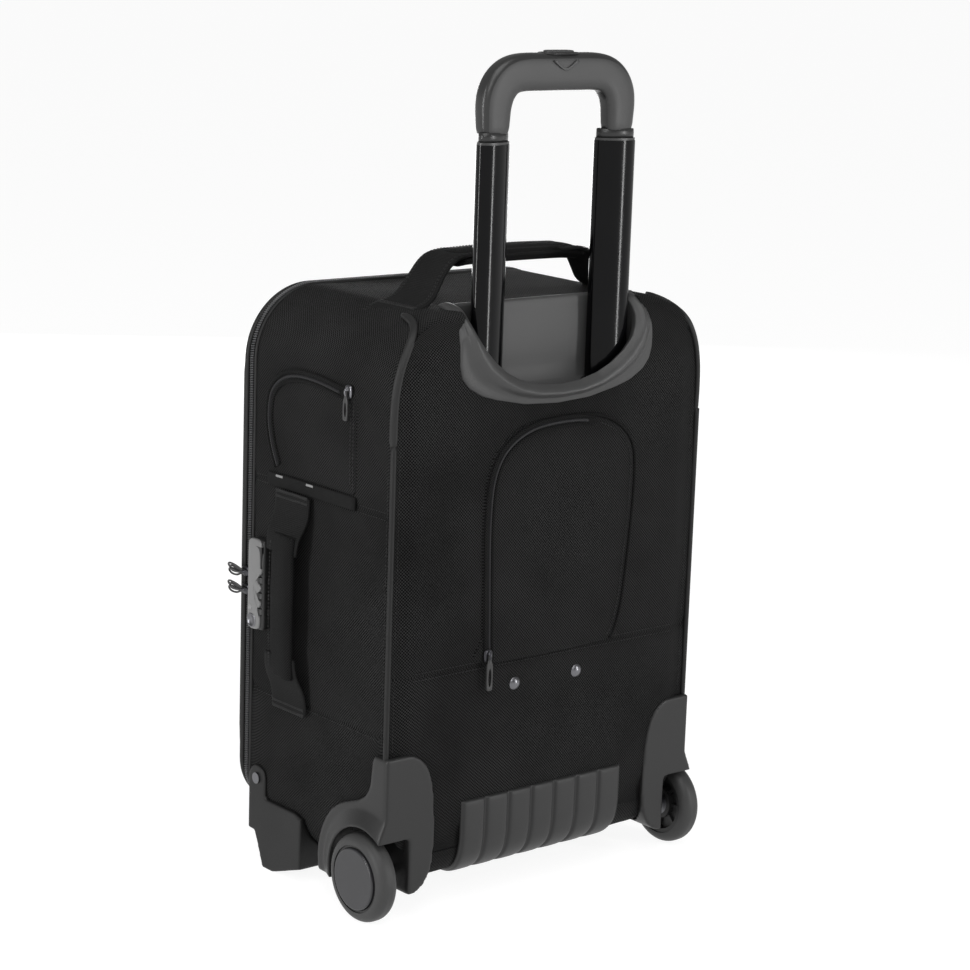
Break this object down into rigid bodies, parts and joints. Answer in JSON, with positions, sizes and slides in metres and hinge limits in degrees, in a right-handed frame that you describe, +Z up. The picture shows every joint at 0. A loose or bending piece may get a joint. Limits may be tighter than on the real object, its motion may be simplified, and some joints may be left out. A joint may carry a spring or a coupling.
{
  "type": "rolling laptop case",
  "caption": "Soft wheeled cabin case for a laptop, with telescoping handle, moulded wheel corners, zipped lid that opens like a book, combination lock, padded grab handles and outer pockets.",
  "frame": {"origin": "on the floor under the middle of the case's box", "axes": "+Z up; +Y to the back, with wheels and telescoping handle; +X to the side with the lock and side handle"},
  "size_m": [0.3726, 0.2402, 0.7245],
  "materials": {
    "ballistic_nylon": "woven nylon, matt",
    "lining_cloth": "plain weave lining",
    "webbing": "ribbed webbing",
    "handle_padding": "padded woven nylon",
    "fabric_piping": "covered cord piping",
    "rubber_guard": "matt rubber",
    "zip_tape": "zip tape and coil",
    "frame_sheet": "extruded sheet",
    "moulded_trim": "fine spark texture",
    "bracket_plastic": "plain moulded",
    "gloss_tube": "black anodised, glossy",
    "collar_plastic": "satin",
    "grip_plastic": "soft satin",
    "wheel_tyre": "satin rubber",
    "wheel_plastic": "satin moulded",
    "bearing_steel": "bright steel",
    "lock_metal": "satin metallic",
    "lock_dial": "satin",
    "key_metal": "satin",
    "zip_metal": "dark gunmetal"
  },
  "bodies": {
    "case_body": {"axles": "bearing_steel", "back_panel": "ballistic_nylon", "back_pocket_panel": "ballistic_nylon", "back_pocket_zip": "zip_tape", "base_tubes": "gloss_tube", "body_piping": "fabric_piping", "corner_guards": "rubber_guard", "fasteners": "bearing_steel", "frame_board": "frame_sheet", "front_feet": "moulded_trim", "gusset": "ballistic_nylon", "handle_bezel": "moulded_trim", "laptop_sleeve": "lining_cloth", "lining": "lining_cloth", "lock_body": "lock_metal", "side_handle_webbing": "webbing", "side_pocket_panel": "ballistic_nylon", "side_pocket_zip": "zip_tape", "skid_plate": "moulded_trim", "top_handle_webbing": "webbing", "tube_brackets": "bracket_plastic", "wheel_housing_left": "moulded_trim", "wheel_housing_right": "moulded_trim", "zip_tape_body": "zip_tape"},
    "lid": {"lid_panel": "ballistic_nylon", "lid_zip_tape": "zip_tape", "lid_piping": "fabric_piping", "front_pocket_panel": "ballistic_nylon"},
    "wheel_left": {"wheel_tyre_left": "wheel_tyre", "wheel_hub_left": "wheel_plastic", "wheel_cap_left": "wheel_plastic", "wheel_bearings_left": "bearing_steel"},
    "wheel_right": {"wheel_tyre_right": "wheel_tyre", "wheel_hub_right": "wheel_plastic", "wheel_cap_right": "wheel_plastic", "wheel_bearings_right": "bearing_steel"},
    "handle_middle": {"middle_tube_left": "gloss_tube", "middle_tube_right": "gloss_tube", "middle_collars": "collar_plastic"},
    "handle_upper": {"inner_tube_left": "gloss_tube", "inner_tube_right": "gloss_tube", "grip": "grip_plastic"},
    "grip_button": {"grip_button": "collar_plastic"},
    "top_handle": {"top_handle_sleeve": "handle_padding"},
    "side_handle": {"side_handle_sleeve": "handle_padding"},
    "dial_lower": {"lock_dial_1": "lock_dial"},
    "dial_middle": {"lock_dial_2": "lock_dial"},
    "dial_upper": {"lock_dial_3": "lock_dial"},
    "lock_key": {"lock_key_cylinder": "key_metal"},
    "lock_release": {"lock_release": "lock_metal"},
    "back_pocket_slider": {"back_pocket_slider": "zip_metal"},
    "back_pocket_tab": {"back_pocket_tab": "zip_metal"},
    "side_pocket_slider": {"side_pocket_slider": "zip_metal"},
    "side_pocket_tab": {"side_pocket_tab": "zip_metal"},
    "front_pocket_slider": {"front_pocket_slider": "zip_metal"},
    "front_pocket_tab": {"front_pocket_tab": "zip_metal"},
    "main_slider_lower": {"main_slider_lower": "zip_metal"},
    "main_slider_upper": {"main_slider_upper": "zip_metal"},
    "main_tab_lower": {"main_tab_lower": "zip_metal"},
    "main_tab_upper": {"main_tab_upper": "zip_metal"}
  },
  "joints": [
    {"name": "lid_hinge", "type": "hinge", "parent": "case_body", "child": "lid", "pos_m": [-0.1712, -0.1035, 0.27], "axis": [0, 0, -1], "range_deg": [0, 150]},
    {"name": "wheel_left_spin", "type": "hinge", "parent": "case_body", "child": "wheel_left", "pos_m": [0.172, 0.078, 0.038], "axis": [1, 0, 0], "continuous": true},
    {"name": "wheel_right_spin", "type": "hinge", "parent": "case_body", "child": "wheel_right", "pos_m": [-0.172, 0.078, 0.038], "axis": [1, 0, 0], "continuous": true},
    {"name": "handle_middle_slide", "type": "slide", "parent": "case_body", "child": "handle_middle", "axis": [0, 0, 1], "range_m": [-0.203, 0]},
    {"name": "handle_upper_slide", "type": "slide", "parent": "handle_middle", "child": "handle_upper", "axis": [0, 0, 1], "range_m": [0, 0.28]},
    {"name": "grip_button_press", "type": "slide", "parent": "handle_upper", "child": "grip_button", "axis": [0, 0, 1], "range_m": [-0.0025, 0], "stiffness_N_per_m": 800},
    {"name": "top_handle_lift", "type": "slide", "parent": "case_body", "child": "top_handle", "axis": [0, 0, 1], "range_m": [-0.018, 0], "stiffness_N_per_m": 1500},
    {"name": "side_handle_pull", "type": "slide", "parent": "case_body", "child": "side_handle", "axis": [1, 0, 0], "range_m": [-0.006, 0.01], "stiffness_N_per_m": 1500},
    {"name": "dial_lower_turn", "type": "hinge", "parent": "case_body", "child": "dial_lower", "pos_m": [0.1718, -0.0772, 0.234], "axis": [0, 0, 1], "continuous": true},
    {"name": "dial_middle_turn", "type": "hinge", "parent": "case_body", "child": "dial_middle", "pos_m": [0.1718, -0.0772, 0.248], "axis": [0, 0, 1], "continuous": true},
    {"name": "dial_upper_turn", "type": "hinge", "parent": "case_body", "child": "dial_upper", "pos_m": [0.1718, -0.0772, 0.262], "axis": [0, 0, 1], "continuous": true},
    {"name": "lock_key_turn", "type": "hinge", "parent": "case_body", "child": "lock_key", "pos_m": [0.175, -0.086, 0.2245], "axis": [1, 0, 0], "range_deg": [0, 90]},
    {"name": "lock_release_slide", "type": "slide", "parent": "case_body", "child": "lock_release", "axis": [0, 0, 1], "range_m": [-0.004, 0], "stiffness_N_per_m": 400},
    {"name": "back_pocket_slide", "type": "slide", "parent": "case_body", "child": "back_pocket_slider", "axis": [0, 0, 1], "range_m": [0, 0.12]},
    {"name": "back_pocket_tab_swing", "type": "hinge", "parent": "back_pocket_slider", "child": "back_pocket_tab", "pos_m": [0.069, 0.1082, 0.221], "axis": [1, 0, 0], "range_deg": [0, 150]},
    {"name": "side_pocket_slide", "type": "slide", "parent": "case_body", "child": "side_pocket_slider", "axis": [0, -1, 0], "range_m": [0, 0.07]},
    {"name": "side_pocket_tab_swing", "type": "hinge", "parent": "side_pocket_slider", "child": "side_pocket_tab", "pos_m": [0.1752, 0.04, 0.446], "axis": [0, -1, 0], "range_deg": [0, 150]},
    {"name": "front_pocket_slide", "type": "slide", "parent": "lid", "child": "front_pocket_slider", "axis": [0, 0, 1], "range_m": [-0.2, 0.05]},
    {"name": "front_pocket_tab_swing", "type": "hinge", "parent": "front_pocket_slider", "child": "front_pocket_tab", "pos_m": [0.1555, -0.1227, 0.326], "axis": [-1, 0, 0], "range_deg": [0, 150]},
    {"name": "main_zip_upper_slide", "type": "slide", "parent": "case_body", "child": "main_slider_upper", "axis": [0, 0, 1], "range_m": [0, 0.14]},
    {"name": "main_zip_lower_slide", "type": "slide", "parent": "case_body", "child": "main_slider_lower", "axis": [0, 0, 1], "range_m": [-0.1, 0]},
    {"name": "main_tab_upper_swing", "type": "hinge", "parent": "main_slider_upper", "child": "main_tab_upper", "pos_m": [0.1754, -0.1035, 0.264], "axis": [0, 0, -1], "range_deg": [0, 35]},
    {"name": "main_tab_lower_swing", "type": "hinge", "parent": "main_slider_lower", "child": "main_tab_lower", "pos_m": [0.1754, -0.1035, 0.248], "axis": [0, 0, -1], "range_deg": [0, 35]}
  ]
}
